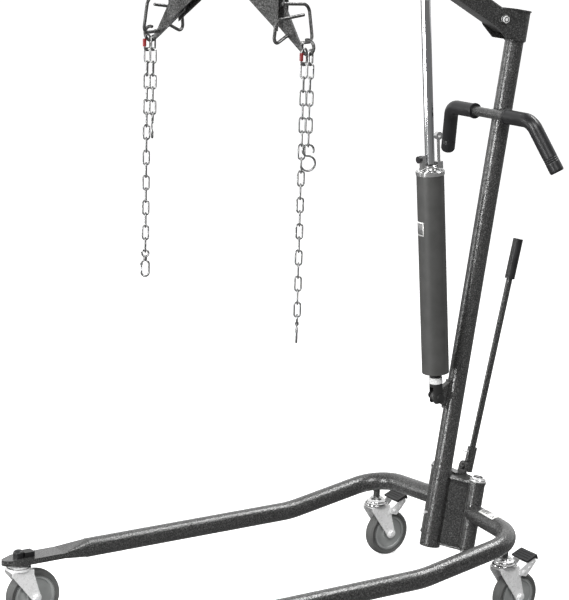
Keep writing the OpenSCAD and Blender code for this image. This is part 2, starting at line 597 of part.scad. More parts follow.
// height of the inner top of a link of wire w hung in the tip ring
function seat(w) = ring_z - sqrt(pow(ring_r - ring_w - w / 2 - 0.3, 2) - dx * dx) - w / 2;
quick_z = seat(quick_d);
long_z = quick_z - quick_in;                // inner top of the first chain link
short_z = seat(wire_d);
a_links = 19; b_links = 16; as_links = 7; bs_links = 6;
module quick_link() translate([0, 0, quick_z]) rotate([0, 0, 90]) oval(quick_in + cg, quick_w, quick_d);
module sleeve(s) translate([0, s * (quick_w - quick_d) / 2, quick_z - quick_in / 2 - 9]) difference() {
  cylinder(r = 4.4, h = 18, $fn = fn_s);
  translate([0, 0, -1]) cylinder(r = quick_d / 2 + 0.05, h = 20, $fn = fn_s);
}
module strand_a_long() on_cradle() translate([tip_half - dx, 0, 0]) children();
module strand_a_short() on_cradle() translate([tip_half + dx, 0, 0]) children();
module strand_b_long() on_cradle() rotate([0, 0, 180]) translate([tip_half + dx, 0, 0]) children();
module strand_b_short() on_cradle() rotate([0, 0, 180]) translate([tip_half - dx, 0, 0]) children();
module long_chain(n) { quick_link(); translate([0, 0, long_z]) chain(n, 1); }
module arc_rod(r, a0, a1, w) rotate([90, 0, 0]) rotate([0, 0, a0])
  rotate_extrude(angle = a1 - a0, $fn = fn_b) translate([r, 0]) circle(r = w, $fn = fn_s);
module s_hook() {
  translate([0, 0, -10.5]) arc_rod(13, -20, 270, 2.5);
  translate([0, 0, -40.5]) arc_rod(17, -160, 90, 2.5);
  translate([0, 0, -10.5]) rotate([0, 20, 0]) translate([13, 0, 0]) sphere(r = 2.5, $fn = fn_s);
  translate([0, 0, -40.5]) rotate([0, 160, 0]) translate([17, 0, 0]) sphere(r = 2.5, $fn = fn_s);
}
module short_chain(n, turn) translate([0, 0, short_z]) {
  chain(n, 0);
  translate([0, 0, -n * pitch]) rotate([0, 0, turn]) s_hook();
}
module a_long_chain() color(zinc) strand_a_long() long_chain(a_links);
module b_long_chain() color(zinc) strand_b_long() long_chain(b_links);
module a_short_chain() color(zinc) strand_a_short() short_chain(as_links, 50);
module b_short_chain() color(zinc) strand_b_short() short_chain(bs_links, 126);
module a_link_sleeve() color(redpart) strand_a_long() sleeve(-1);
module b_link_sleeve() color(redpart) strand_b_long() sleeve(1);
gate_x = 8.9; gate_top = -33; gate_len = 17;
module snap_hook() {
  translate([0, 0, -5.6]) rotate([90, 0, 0]) rotate_extrude($fn = fn_b) translate([8, 0])
    circle(r = 2.4, $fn = fn_s);
  translate([0, 0, -22]) cylinder(r = 4.6, h = 7, $fn = fn_s);
  difference() {
    translate([0, 0, -25.5]) oval(34, 23, 5.2);
    translate([3, -5, gate_top - gate_len]) cube([20, 10, gate_len]);
    for (y = [-4.4, 1.3]) translate([gate_x - 3.4, y, gate_top - 1]) cube([6.8, 3.1, 5]);
  }
  translate([gate_x, 0, gate_top]) rotate([90, 0, 0]) translate([0, 0, -1.2])
    cylinder(r = 3.4, h = 2.4, $fn = fn_s);
}
module gate() difference() {
  union() {
    translate([gate_x, 0, gate_top - gate_len + 0.4]) cylinder(r = 2.2, h = gate_len - 4.4, $fn = fn_s);
    translate([gate_x, 0, gate_top]) for (y = [-3.2, 1.5]) translate([0, y, 0]) rotate([-90, 0, 0])
      cylinder(r = 3, h = 1.7, $fn = fn_s);
    for (y = [-3.2, 1.5]) translate([gate_x - 1.6, y, gate_top - 7]) cube([3.2, 1.7, 7]);
    translate([gate_x - 1.6, -3.2, gate_top - 8]) cube([3.2, 6.4, 3.2]);
  }
}
function snap_z(n) = long_z - n * pitch;
module a_snap_hook() color(zinc) strand_a_long() translate([0, 0, snap_z(a_links)])
  rotate([0, 0, 126]) snap_hook();
module b_snap_hook() color(zinc) strand_b_long() translate([0, 0, snap_z(b_links)])
  rotate([0, 0, 36]) snap_hook();
module a_gate() color(chrome) strand_a_long() translate([0, 0, snap_z(a_links)])
  rotate([0, 0, 126]) gate();
module b_gate() color(chrome) strand_b_long() translate([0, 0, snap_z(b_links)])
  rotate([0, 0, 36]) gate();

// ---------- assembly ----------
module place() translate([0, dy, 0]) children();
place() mast_socket();
place() pivot_housing();
place() leg_pivot_bolts();
place() mast_tube();
place() mast_fasteners();
place() head_bracket();
place() ram_lug();
place() handlebar();
place() handle_grips();
place() lever_bracket();
place() ram_foot_pin();
place() left_leg();
place() right_leg();
place() left_leg_nut();
place() right_leg_nut();
place() shift_lever();
place() lever_grip();
place() lever_screw();
place() fl_fork();
place() fl_tyre();
place() fl_hub();
place() fr_fork();
place() fr_tyre();
place() fr_hub();
place() rl_fork();
place() rl_tyre();
place() rl_hub();
place() rr_fork();
place() rr_tyre();
place() rr_hub();
place() rl_brake_arm();
place() rl_pedal();
place() rr_brake_arm();
place() rr_pedal();
place() ram_body();
place() ram_cap();
place() ram_foot();
place() release_knob();
place() pump_plunger();
place() ram_rod();
place() rod_eye();
place() boom();
place() boom_lug();
place() hanger_cheeks();
place() hanger();
place() cradle_bar();
place() cradle_blades();
place() cradle_hooks();
place() a_long_chain();
place() a_short_chain();
place() b_long_chain();
place() b_short_chain();
place() a_link_sleeve();
place() b_link_sleeve();
place() a_snap_hook();
place() b_snap_hook();
place() a_gate();
place() b_gate();
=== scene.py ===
import bpy, bmesh, json, math
from mathutils import Vector, Matrix


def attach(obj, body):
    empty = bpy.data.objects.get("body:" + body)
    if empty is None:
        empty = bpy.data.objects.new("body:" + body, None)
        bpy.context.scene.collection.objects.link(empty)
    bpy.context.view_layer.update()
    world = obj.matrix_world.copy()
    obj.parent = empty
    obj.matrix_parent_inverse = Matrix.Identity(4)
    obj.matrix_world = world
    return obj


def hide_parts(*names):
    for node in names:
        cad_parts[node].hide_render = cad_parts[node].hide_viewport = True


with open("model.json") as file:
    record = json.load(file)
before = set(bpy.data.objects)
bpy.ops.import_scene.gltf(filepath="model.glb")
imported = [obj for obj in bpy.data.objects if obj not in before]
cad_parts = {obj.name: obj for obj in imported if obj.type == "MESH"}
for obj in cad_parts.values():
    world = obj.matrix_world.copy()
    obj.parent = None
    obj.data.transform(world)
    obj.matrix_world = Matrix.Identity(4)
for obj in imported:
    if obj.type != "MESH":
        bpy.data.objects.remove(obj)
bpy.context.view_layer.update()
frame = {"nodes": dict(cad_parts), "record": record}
NODES = frame["nodes"]
DY = 0.47277                                            # from the design origin to the frame's, metres
LEAN, RAM_TILT, BOOM_UP = (math.radians(a) for a in (8.7, 4.87, 28.7))
PIVOT_U, PIVOT_V = 1497, 66.7                           # boom pivot along and across the mast
TUBE_R = 24.15                                          # leg tube


# ---------------------------------------------------------------- frames of the CAD parts, mm in, metres out
def frame_at(origin, rx=0.0):
    m = Matrix.Translation((origin[0] / 1000, origin[1] / 1000 + DY, origin[2] / 1000))
    return m @ Matrix.Rotation(rx, 4, "X") @ Matrix.Scale(0.001, 4)


WORLD = frame_at((0, 0, 0))
MAST = frame_at((0, -76.5, 0), -LEAN)
RAM = frame_at((0, -58, 525), RAM_TILT)
PIVOT_Y = -76.5 + PIVOT_U * math.sin(LEAN) - PIVOT_V * math.cos(LEAN)
PIVOT_Z = PIVOT_U * math.cos(LEAN) + PIVOT_V * math.sin(LEAN)
BOOM = frame_at((0, PIVOT_Y, PIVOT_Z), -BOOM_UP)


# ---------------------------------------------------------------- materials
class Mat:
    """A node material: a shader plus small helpers that wire textures into it."""

    def __init__(self, name, color, metallic, rough, **sockets):
        self.m = bpy.data.materials.new(name)
        self.m.use_nodes = True
        self.t = self.m.node_tree
        self.b = self.t.nodes["Principled BSDF"]
        self.b.inputs["Base Color"].default_value = (*color, 1)
        self.b.inputs["Metallic"].default_value = metallic
        self.b.inputs["Roughness"].default_value = rough
        for k, v in sockets.items():
            self.b.inputs[k.replace("_", " ")].default_value = v
        self.co = self.t.nodes.new("ShaderNodeTexCoord").outputs["Object"]
        self.last_bump = None

    def link(self, a, b):
        self.t.links.new(a, b)

    def mapped(self, scale):
        n = self.t.nodes.new("ShaderNodeMapping")
        n.inputs["Scale"].default_value = scale
        self.link(self.co, n.inputs["Vector"])
        return n.outputs["Vector"]

    def noise(self, scale, detail, rough=0.5, at=None):
        n = self.t.nodes.new("ShaderNodeTexNoise")
        for k, v in (("Scale", scale), ("Detail", detail), ("Roughness", rough)):
            n.inputs[k].default_value = v
        self.link(at or self.co, n.inputs["Vector"])
        return n.outputs["Fac"]

    def voronoi(self, scale, feature="SMOOTH_F1"):
        n = self.t.nodes.new("ShaderNodeTexVoronoi")
        n.feature = feature
        n.inputs["Scale"].default_value = scale
        self.link(self.co, n.inputs["Vector"])
        return n.outputs["Distance"]

    def ramp(self, fac, stops):
        n = self.t.nodes.new("ShaderNodeValToRGB")
        while len(n.color_ramp.elements) < len(stops):
            n.color_ramp.elements.new(0.5)
        for e, (p, c) in zip(n.color_ramp.elements, stops):
            e.position = p
            e.color = (*c, 1)
        self.link(fac, n.inputs["Fac"])
        return n.outputs["Color"]

    def mix(self, fac, a, b):
        n = self.t.nodes.new("ShaderNodeMix")
        n.data_type = "RGBA"
        for i, v in ((0, fac), (6, a), (7, b)):
            if isinstance(v, bpy.types.NodeSocket):
                self.link(v, n.inputs[i])
            else:
                n.inputs[i].default_value = v if i == 0 else (*v, 1)
        return n.outputs[2]

    def math(self, op, a, b):
        n = self.t.nodes.new("ShaderNodeMath")
        n.operation = op
        for i, v in ((0, a), (1, b)):
            if isinstance(v, bpy.types.NodeSocket):
                self.link(v, n.inputs[i])
            else:
                n.inputs[i].default_value = v
        return n.outputs[0]

    def color(self, s):
        self.link(s, self.b.inputs["Base Color"])

    def rough(self, fac, lo, hi):
        n = self.t.nodes.new("ShaderNodeMapRange")
        n.inputs["To Min"].default_value = lo
        n.inputs["To Max"].default_value = hi
        self.link(fac, n.inputs["Value"])
        self.link(n.outputs["Result"], self.b.inputs["Roughness"])

    def bump(self, height, distance, strength=1.0):
        n = self.t.nodes.new("ShaderNodeBump")
        n.inputs["Distance"].default_value = distance
        n.inputs["Strength"].default_value = strength
        self.link(height, n.inputs["Height"])
        if self.last_bump:
            self.link(self.last_bump, n.inputs["Normal"])
        self.last_bump = n.outputs["Normal"]
        self.link(self.last_bump, self.b.inputs["Normal"])


def hammertone():
    """Hammer-finish powder coat: dimples, pale flecks and a clear gloss."""
    dark, mid, light = 0.02, 0.058, 0.19
    m = Mat("hammertone", (mid,) * 3, 0.3, 0.34, Coat_Weight=0.65, Coat_Roughness=0.2)
    warp = m.noise(170, 2)
    cells = m.voronoi(300)
    dimples = m.math("ADD", cells, m.math("MULTIPLY", warp, 0.6))
    flecks = m.noise(330, 2, 0.65)
    patches = m.noise(30, 2)
    tone = m.ramp(flecks, [(0.4, (dark, dark, dark * 0.97)), (0.53, (mid, mid, mid * 0.98)),
                           (0.7, (light, light, light * 0.99))])
    m.color(m.mix(m.math("MULTIPLY", patches, 0.3), tone, (mid * 0.7,) * 3))
    m.rough(warp, 0.2, 0.4)
    m.bump(dimples, 0.0008, 0.6)
    m.link(m.last_bump, m.b.inputs["Coat Normal"])
    m.bump(flecks, 0.0004, 0.5)
    return m.m


def zinc(name="zinc", base=0.93, rough=(0.18, 0.38), edge=0.8, metal=0.18):
    m = Mat(name, (base,) * 3, metal, 0.3, Specular_Tint=(edge, edge, edge, 1))
    cloud = m.noise(70, 4, 0.65)
    grain = m.noise(700, 2)
    spangle = m.voronoi(150, "F1")
    tone = m.ramp(cloud, [(0.3, (base * 0.93, base * 0.94, base * 0.93)), (0.5, (base, base, base)),
                          (0.75, (min(1, base * 1.08),) * 3)])
    m.color(m.mix(m.math("MULTIPLY", spangle, 0.15), tone, (base * 0.7,) * 3))
    m.rough(cloud, *rough)
    m.bump(grain, 0.0001, 0.5)
    return m.m


def chrome():
    m = Mat("chrome", (0.8, 0.81, 0.82), 1.0, 0.06)
    fine = m.noise(500, 2, at=m.mapped((1, 1, 0.02)))
    m.color(m.ramp(fine, [(0.3, (0.76, 0.77, 0.78)), (0.7, (0.84, 0.85, 0.86))]))
    m.rough(fine, 0.03, 0.1)
    m.bump(fine, 0.000003, 0.15)
    return m.m


def plastic(name, color, rough=(0.4, 0.6), grain=700, depth=0.00012, vary=0.2, **kw):
    m = Mat(name, color, 0.0, 0.5, **kw)
    n = m.noise(grain, 2)
    wide = m.noise(25, 3)
    lo = tuple(c * (1 - vary) for c in color)
    hi = tuple(min(1, c * (1 + vary)) for c in color)
    m.color(m.ramp(wide, [(0.35, lo), (0.65, hi)]))
    m.rough(wide, *rough)
    m.bump(n, depth, 0.5)
    return m.m


MATS = {
    "powder": hammertone(),
    "zinc": zinc(),
    "chain": zinc("chain_zinc", 0.34, (0.2, 0.38), 0.12, 1.0),
    "cap": zinc("cap_zinc", 0.72, (0.08, 0.2), 0.9, 0.92),
    "chrome": chrome(),
    "black": plastic("grip_black", (0.013, 0.013, 0.014), (0.3, 0.44), 1400, 0.0001),
    "blackmetal": plastic("satin_black", (0.018, 0.018, 0.018), (0.3, 0.42), 260, 0.0001),
    "rubber": plastic("tread_grey", (0.105, 0.107, 0.104), (0.55, 0.72), 900, 0.0001, 0.12),
    "hub": plastic("hub_grey", (0.33, 0.34, 0.335), (0.36, 0.5), 800, 0.00006, 0.08),
    "rampaint": plastic("ram_paint", (0.062, 0.062, 0.06), (0.4, 0.5), 420, 0.00018, 0.1),
    "red": plastic("sleeve_red", (0.22, 0.012, 0.014), (0.35, 0.5), 600, 0.0001),
}
for sub in frame["record"]["subparts"]:
    o = NODES[sub["node"]]
    if "chain" in sub["node"] or "snap" in sub["node"]:
        m = MATS["chain"]
    elif sub["node"] in ("ram_cap", "pump_plunger"):
        m = MATS["cap"]
    else:
        m = MATS[sub["material_slot"]]
    o.data.materials.clear()
    o.data.materials.append(m)

# ---------------------------------------------------------------- mesh helpers
def build(name, verts, faces, m, slot, body, mat=None, angle=35):
    """Mesh object from points in the frame m, shaded smooth below the angle, riding on a body."""
    me = bpy.data.meshes.new(name)
    me.from_pydata([m @ Vector(v) for v in verts], [], faces)
    bm = bmesh.new()
    bm.from_mesh(me)
    bmesh.ops.remove_doubles(bm, verts=bm.verts, dist=1e-6)
    bmesh.ops.recalc_face_normals(bm, faces=bm.faces)
    bm.to_mesh(me)
    bm.free()
    me.shade_smooth()
    me.set_sharp_from_angle(angle=math.radians(angle))
    o = bpy.data.objects.new(name, me)
    bpy.context.scene.collection.objects.link(o)
    me.materials.append(mat or MATS[slot])
    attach(o, body)
    return o


def sweep_data(pts, section, closed=False):
    """Verts and faces of section(i, n) -> list of 2-D points, carried along pts without twist."""
    pts = [Vector(p) for p in pts]
    n = len(pts)
    verts, faces = [], []
    t0 = (pts[1] - pts[0]).normalized()
    nrm = t0.orthogonal().normalized()
    if abs(t0.z) < 0.95:
        nrm = (Vector((0, 0, 1)) - t0 * t0.z).normalized()
    for i, p in enumerate(pts):
        a = pts[(i - 1) % n] if closed or i else p
        b = pts[(i + 1) % n] if closed or i < n - 1 else p
        t = (b - a).normalized()
        nrm = (nrm - t * nrm.dot(t)).normalized()
        bi = t.cross(nrm)
        sec = section(i, n)
        verts += [tuple(p + nrm * u + bi * v) for u, v in sec]
    k = len(sec)
    rings = n if closed else n - 1
    for i in range(rings):
        for j in range(k):
            faces.append((i * k + j, i * k + (j + 1) % k, (i + 1) % n * k + (j + 1) % k, (i + 1) % n * k + j))
    if not closed:
        faces += [tuple(range(k))[::-1], tuple(range((n - 1) * k, n * k))]
    return verts, faces


def circle(r, k=32):
    return [(r * math.cos(2 * math.pi * j / k), r * math.sin(2 * math.pi * j / k)) for j in range(k)]


def rounded(w, h, r, k=5):
    """Outline of a rectangle of half sizes w and h with corners of radius r."""
    out = []
    for sx, sy, a in ((1, 1, 0), (-1, 1, 90), (-1, -1, 180), (1, -1, 270)):
        for j in range(k + 1):
            t = math.radians(a + 90 * j / k)
            out.append((sx * (w - r) + r * math.cos(t), sy * (h - r) + r * math.sin(t)))
    return out


def lathe(name, prof, m, slot, body, k=64, **kw):
    """Closed ring of revolution about z from an outline of (radius, z) points."""
    verts = [(r * math.cos(2 * math.pi * j / k), r * math.sin(2 * math.pi * j / k), z)
             for j in range(k) for r, z in prof]
    n = len(prof)
    faces = [(j * n + i, (j + 1) % k * n + i, (j + 1) % k * n + (i + 1) % n, j * n + (i + 1) % n)
             for j in range(k) for i in range(n)]
    return build(name, verts, faces, m, slot, body, **kw)


def bent_path(pts, br, step=6):
    """Polyline with each corner replaced by an arc of radius br."""
    pts = [Vector(p) for p in pts]
    out = [pts[0]]
    for a, p, b in zip(pts, pts[1:], pts[2:]):
        d1, d2 = (p - a).normalized(), (b - p).normalized()
        th = d1.angle(d2)
        t = br * math.tan(th / 2)
        n = d1.cross(d2).normalized()
        c = p - d1 * t + n.cross(d1) * br
        k = max(3, int(math.degrees(th) / step))
        out += [c + (Matrix.Rotation(th * j / k, 3, n) @ (p - d1 * t - c)) for j in range(k + 1)]
    return out + [pts[-1]]


def dense(path, step):
    """The same polyline with points about a step apart."""
    out = [Vector(path[0])]
    for a, b in zip(path, path[1:]):
        a, b = Vector(a), Vector(b)
        k = max(1, int((b - a).length / step))
        out += [a.lerp(b, j / k) for j in range(1, k + 1)]
    return out


def bead(name, pts, m, body, r, closed=False):
    """Weld bead: a small round ridge with the ripples of each pass."""
    pitch = 2.6                                           # length of one ripple
    path = dense(list(pts) + ([pts[0]] if closed else []), pitch / 3)
    if closed:
        path = path[:-1]

    def section(i, n):
        return circle(r * (0.86 + 0.2 * abs(math.sin(i * math.pi / 3))), 8)

    verts, faces = sweep_data(path, section, closed)
    return build(name, verts, faces, m, "powder", body, angle=80)


def ring(r, z, k=48):
    """Points of a level circle."""
    return [(x, y, z) for x, y in circle(r, k)]


def along_x(x, y, z, base=WORLD, flip=False):
    """Frame whose +z points along +X (or -X) at a point given in mm."""
    return base @ Matrix.Translation((x, y, z)) @ Matrix.Rotation(math.radians(-90 if flip else 90), 4, "Y")


def bolt_head(name, m, slot, body, r, h):
    """Hex head with a rounded crown, standing on z = 0."""
    prof = [(0.0, h), (0.55 * r, h), (0.8 * r, h - 0.25), (0.97 * r, h - 1.3), (r, h - 2.2), (r, 0)]
    verts, faces = [], []
    for q, z in prof:
        for j in range(24):
            a = 2 * math.pi * j / 24
            hexr = r * math.cos(math.pi / 6) / math.cos((a % (math.pi / 3)) - math.pi / 6)
            rr = min(q, hexr) if q else 0.01
            verts.append((rr * math.cos(a), rr * math.sin(a), z))
    for i in range(len(prof) - 1):
        for j in range(24):
            faces.append((i * 24 + j, i * 24 + (j + 1) % 24, (i + 1) * 24 + (j + 1) % 24, (i + 1) * 24 + j))
    n = len(prof) * 24
    faces += [tuple(range(24)), tuple(range(n - 24, n))]
    return build(name, verts, faces, m, slot, body, angle=28)


# ---------------------------------------------------------------- push bar grips
GRIP_LINE = [(62, 77.6, 1250), (160, 77.6, 1250), (220, 117, 1131)]
GRIP_BEND = 38
GRIP_R = 18.5
for s, side in ((1, "left"), (-1, "right")):
    pts = dense(bent_path([(s * x, y, z) for x, y, z in GRIP_LINE], GRIP_BEND, 4), 1.0)
    total = [0.0]
    for a, b in zip(pts, pts[1:]):
        total.append(total[-1] + (b - a).length)
    length = total[-1]

    def grip_section(i, n):
        """Collar at the inner end, three grooves and a rounded edge at the outer end."""
        t = total[i]
        r = GRIP_R
        if t < 7:
            r = 20.4 - 0.6 * abs(t - 3.5) / 3.5
        for g in (26, 31, 36):
            d = abs(length - t - g)
            if d < 1.6:
                r -= 1.0 * (1 - d / 1.6)
        if length - t < 2.5:
            r -= 0.9 * (1 - (length - t) / 2.5) ** 2
        return circle(r, 40)

    verts, faces = sweep_data(pts, grip_section)
    o = build(f"grip_{side}", verts, faces, WORLD, "black", "base", angle=40)
    if s == 1:
        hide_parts("handle_grips")
    # the open end: a rim and a shallow recess
    end, dirn = pts[-1], (pts[-1] - pts[-2]).normalized()
    m = WORLD @ Matrix.Translation(end) @ dirn.to_track_quat("Z", "Y").to_matrix().to_4x4()
    lathe(f"grip_rim_{side}", [(17.5, -1), (17.5, 0.8), (16.5, 2.4), (14.0, 2.6), (13.2, 1.4), (13.0, -1)],
          m, "black", "base", k=40)

# ---------------------------------------------------------------- boom: rounded square tube along its own line
BR, LEN, DROP, NOSE = 150.0, 600.0, math.radians(33.7), 207.0     # bend radius, straight, bend, nose
bend = [DROP * i / 24 for i in range(25)]
line = [(0, 25, 0)] + [(0, -LEN - BR * math.sin(a), -BR + BR * math.cos(a)) for a in bend]
end = Vector(line[-1]) + Vector((0, -math.cos(DROP), -math.sin(DROP))) * (NOSE - 0.2)
line = line[:1] + [(0, -LEN * j / 12, 0) for j in range(12)] + line[1:] + [tuple(end)]
verts, faces = sweep_data(line, lambda i, n: rounded(24.9, 24.9, 5.0))
boom_skin = build("boom_skin", verts, faces, BOOM, "powder", "boom", angle=30)
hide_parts("boom")
nose = (BOOM @ Matrix.Translation(end) @ Matrix.Rotation(DROP, 4, "X")
        @ Matrix.Rotation(math.radians(90), 4, "X"))
back = BOOM @ Matrix.Translation((0, 25, 0)) @ Matrix.Rotation(math.radians(-90), 4, "X")
for tag, m in (("nose", nose), ("back", back)):
    outline = rounded(24.6, 24.6, 5.0)
    inner = rounded(23.4, 23.4, 4.4)
    n = len(outline)
    verts = [(x, y, z) for z, loop in ((-1.0, outline), (1.2, outline), (2.0, inner)) for x, y in loop]
    faces = [(r * n + j, r * n + (j + 1) % n, (r + 1) * n + (j + 1) % n, (r + 1) * n + j)
             for r in (0, 1) for j in range(n)]
    faces += [tuple(range(n))[::-1], tuple(range(2 * n, 3 * n))]
    build(f"boom_plug_{tag}", verts, faces, m, "black", "boom", angle=30)

# ---------------------------------------------------------------- ram: collars, rings, bolts, label
lathe("ram_foot_collar",
      [(12, 36), (17.2, 36), (17.8, 36.8), (17.8, 43.4), (17.2, 44), (16.9, 44.4), (17.4, 45), (17.4, 51),
       (16.6, 52), (12, 52)], RAM, "zinc", "ram")
lathe("ram_foot_weld",
      [(9, 52.2), (13.4, 52.2), (13.6, 54.6), (11.8, 55.4), (11.8, 61.5), (13.2, 64.6), (9, 64.6)],
      RAM, "blackmetal", "ram")
lathe("ram_top_ring",
      [(30, 588), (36.4, 588), (36.9, 588.5), (36.9, 592.6), (36.3, 593.1), (30, 593.1)],
      RAM, "zinc", "ram", mat=MATS["cap"], k=96)
lathe("ram_gland",
      [(12.6, 597), (21, 597), (21.6, 598), (21.6, 603.2), (20.6, 604), (17.4, 604), (17.4, 606.4),
       (16, 607.6), (12.6, 607.6)], RAM, "zinc", "ram", mat=MATS["cap"])
lathe("ram_wiper",
      [(12.5, 607.7), (15.4, 607.7), (15.2, 609.6), (13.2, 611), (12.5, 611)], RAM, "black", "ram")
for i in range(6):
    a = math.radians(5 + 60 * i)
    m = RAM @ Matrix.Translation((28.4 * math.cos(a), 28.4 * math.sin(a), 593.2))
    bolt_head(f"ram_bolt_{i}", m, "zinc", "ram", 3.6, 3.4)


def curved_patch(name, m, r, a0, a1, z0, z1, mat, slot, body, k=12, lift=0.25):
    """Thin sticker on a cylinder of radius r about z."""
    verts, faces = [], []
    for j in range(k + 1):
        a = math.radians(a0 + (a1 - a0) * j / k)
        for z in (z0, z1):
            verts.append(((r + lift) * math.cos(a), (r + lift) * math.sin(a), z))
    for j in range(k):
        faces.append((2 * j, 2 * j + 2, 2 * j + 3, 2 * j + 1))
    o = build(name, verts, faces, m, slot, body, mat=mat)
    sol = o.modifiers.new("thick", "SOLIDIFY")
    sol.thickness, sol.offset = 0.0002, 1
    return o


paper = Mat("label_paper", (0.9, 0.9, 0.88), 0.0, 0.5)
paper.color(paper.ramp(paper.noise(160, 3), [(0.3, (0.84, 0.84, 0.82)), (0.7, (0.95, 0.95, 0.93))]))
grey = Mat("label_print", (0.2, 0.2, 0.2), 0.0, 0.5)
grey.color(grey.ramp(grey.noise(240, 3), [(0.35, (0.13, 0.13, 0.13)), (0.65, (0.26, 0.26, 0.26))]))
ink = plastic("label_bars", (0.03, 0.03, 0.03))

curved_patch("ram_label_edge", RAM, 35, -134, -72, 430, 466, paper.m, "zinc", "ram", lift=0.2)
curved_patch("ram_label_face", RAM, 35, -129, -77, 433.5, 462.5, grey.m, "zinc", "ram", lift=0.45)
# the stub of the left leg, its axis along +z from the bend
STUB = (WORLD @ Matrix.Translation((296, -305, 168.5)) @ Matrix.Rotation(math.radians(9.5), 4, "X")
        @ Matrix.Translation((-92, 218, 0)) @ Matrix.Rotation(math.radians(83.8), 4, "Z")
        @ Matrix.Translation((92, 0, 0)) @ Matrix.Rotation(math.radians(-90), 4, "X"))
curved_patch("stub_label", STUB, TUBE_R, -116, -30, 18, 84, paper.m, "zinc", "left_leg", lift=0.25)
# start, width and end angle of each bar
BARS = [(24, 5, -88), (33, 4, -94), (50, 2, -46), (54.5, 3.5, -46), (60.5, 1.6, -46), (65, 4, -46),
        (71.5, 2, -46), (76, 2.6, -46)]
for i, (z, w, a) in enumerate(BARS):
    curved_patch(f"stub_bar_{i}", STUB, TUBE_R, -104, a, z, z + w, ink, "zinc", "left_leg", lift=0.5)

# ---------------------------------------------------------------- casters
TRAIL = 38                                              # axle behind the swivel
REAR_Y = -33.6
# swivel x and y, top of the fork, wheel radius
CASTERS = {"fl": (296, -1103, 155, 70), "fr": (-296, -1103, 155, 70),
           "rl": (276, REAR_Y, 156, 63.5), "rr": (-276, REAR_Y, 156, 63.5)}
for k, (x, y, top, wr) in CASTERS.items():
    m = WORLD @ Matrix.Translation((x, y, 0))
    body = k + "_caster"
    g = 0 if k[0] == "r" else 1.5                         # the front cups are slimmer
    lathe(k + "_race_lip",
          [(29 - g, top - 9.4), (31.6 - g, top - 9.4), (32.2 - g, top - 8.4), (32.2 - g, top - 4.4),
           (31.4 - g, top - 3), (29.6 - g, top - 2.8)], m, "zinc", body, mat=MATS["cap"])
    # painted shade: a thin dark ring stands in for the shade in the gap at the top of the race lip
    lathe(k + "_race_gap_painted_shade",
          [(26.6, top - 3.1), (29.4, top - 3.1), (29.2, top - 2.4), (26.8, top - 2.2)], m, "blackmetal", body)
    if k[0] == "r":
        lathe(k + "_dome_low",
              [(20, top + 0.4), (25.2, top + 0.4), (26.2, top + 1.6), (26.2, top + 3.2), (25, top + 5),
               (20, top + 6)], m, "zinc", body, mat=MATS["cap"])
        lathe(k + "_dome_top",
              [(9.6, top + 8), (19, top + 8.2), (19.6, top + 9.2), (18.4, top + 11), (15.4, top + 12.2),
               (15.6, top + 14), (14.6, top + 14.6), (9.6, top + 14.6)], m, "zinc", body, mat=MATS["cap"])
        # painted shade: a thin dark ring stands in for the shade in the gap between the two dome rings
        lathe(k + "_dome_gap_painted_shade",
              [(16, top + 5.6), (22.4, top + 5.6), (21.8, top + 6.8), (16, top + 7.6)], m, "blackmetal", body)
    for s, sign in ((1, "p"), (-1, "n")):
        a = along_x(s * 24, y + TRAIL, wr, WORLD @ Matrix.Translation((x, 0, 0)), flip=s < 0)
        tag = f"{k}_axle_{sign}"
        lathe(tag + "_washer",
              [(5, -0.1), (10.8, -0.1), (11.2, 0.3), (10.8, 1.1), (5, 1.1)], a, "zinc", body, k=40)
        bolt_head(tag + "_head", a @ Matrix.Translation((0, 0, 4.4)), "zinc", body, 8.4, 1.8)
        lathe(tag + "_tip",
              [(0.2, 6.0), (3.6, 6.0), (4.2, 5.4), (4.2, 4.4), (0.2, 4.4)], a, "zinc", body, k=24)
        # painted shade: a dark ring where the tread meets the hub stands in for the shade in that seam; raised
        # ring on the hub
        h = along_x(0, y + TRAIL, wr, WORLD @ Matrix.Translation((x, 0, 0)), flip=s < 0)
        lathe(f"{k}_tread_line_{sign}",
              [(wr - 17.6, 14.4), (wr - 14.4, 13.4), (wr - 14.2, 14.5), (wr - 17, 15.25)],
              h, "blackmetal", k + "_wheel", k=80)
        lathe(f"{k}_hub_ring_{sign}",
              [(13, 11.4), (15.6, 11.4), (16.4, 12.4), (19.4, 12.6), (20, 11.6), (21, 11.3), (21, 11),
               (13, 11)], h, "hub", k + "_wheel", k=64)
# y, z and radius of each rivet; the first sits on the fork, the others on the brake arm
RIVETS = [(42, 131, 5.4), (60, 139, 3.4), (69, 151, 3.4)]
for k, x in (("rl", 276), ("rr", -276)):
    for s, sign in ((1, "p"), (-1, "n")):
        for i, (yy, zz, r) in enumerate(RIVETS):
            a = along_x(x + s * (30.4 if i == 0 else 27.9), REAR_Y + yy, zz, flip=s < 0)
            lathe(f"{k}_rivet_{i}_{sign}",
                  [(0.1, 1.9), (0.45 * r, 1.75), (0.8 * r, 1.1), (r, 0.1), (r, -0.1), (0.1, -0.1)],
                  a, "zinc", k + ("_caster" if i == 0 else "_brake"), k=28)

# ---------------------------------------------------------------- leg pivots
for s, side in ((1, "l"), (-1, "r")):
    m = MAST @ Matrix.Translation((s * 80, 56.5, 0))
    lathe(f"pivot_cup_{side}",
          [(15.6, 319.7), (20.2, 319.7), (21.0, 320.6), (21.0, 322.6), (20.0, 323.4), (18.6, 323.2),
           (18.0, 321.4), (15.6, 321.2)], m, "zinc", "base", mat=MATS["cap"])
    lathe(f"pivot_seal_{side}",
          [(21.4, 310.2), (22.6, 310.2), (22.8, 310.8), (21.6, 311)], m, "blackmetal", "base")
    lathe(f"pivot_nylon_{side}",
          [(10.2, 327.4), (12.6, 327.4), (12.2, 329.4), (10.6, 330.2), (10.2, 330.2)], m, "black", "base", k=32)

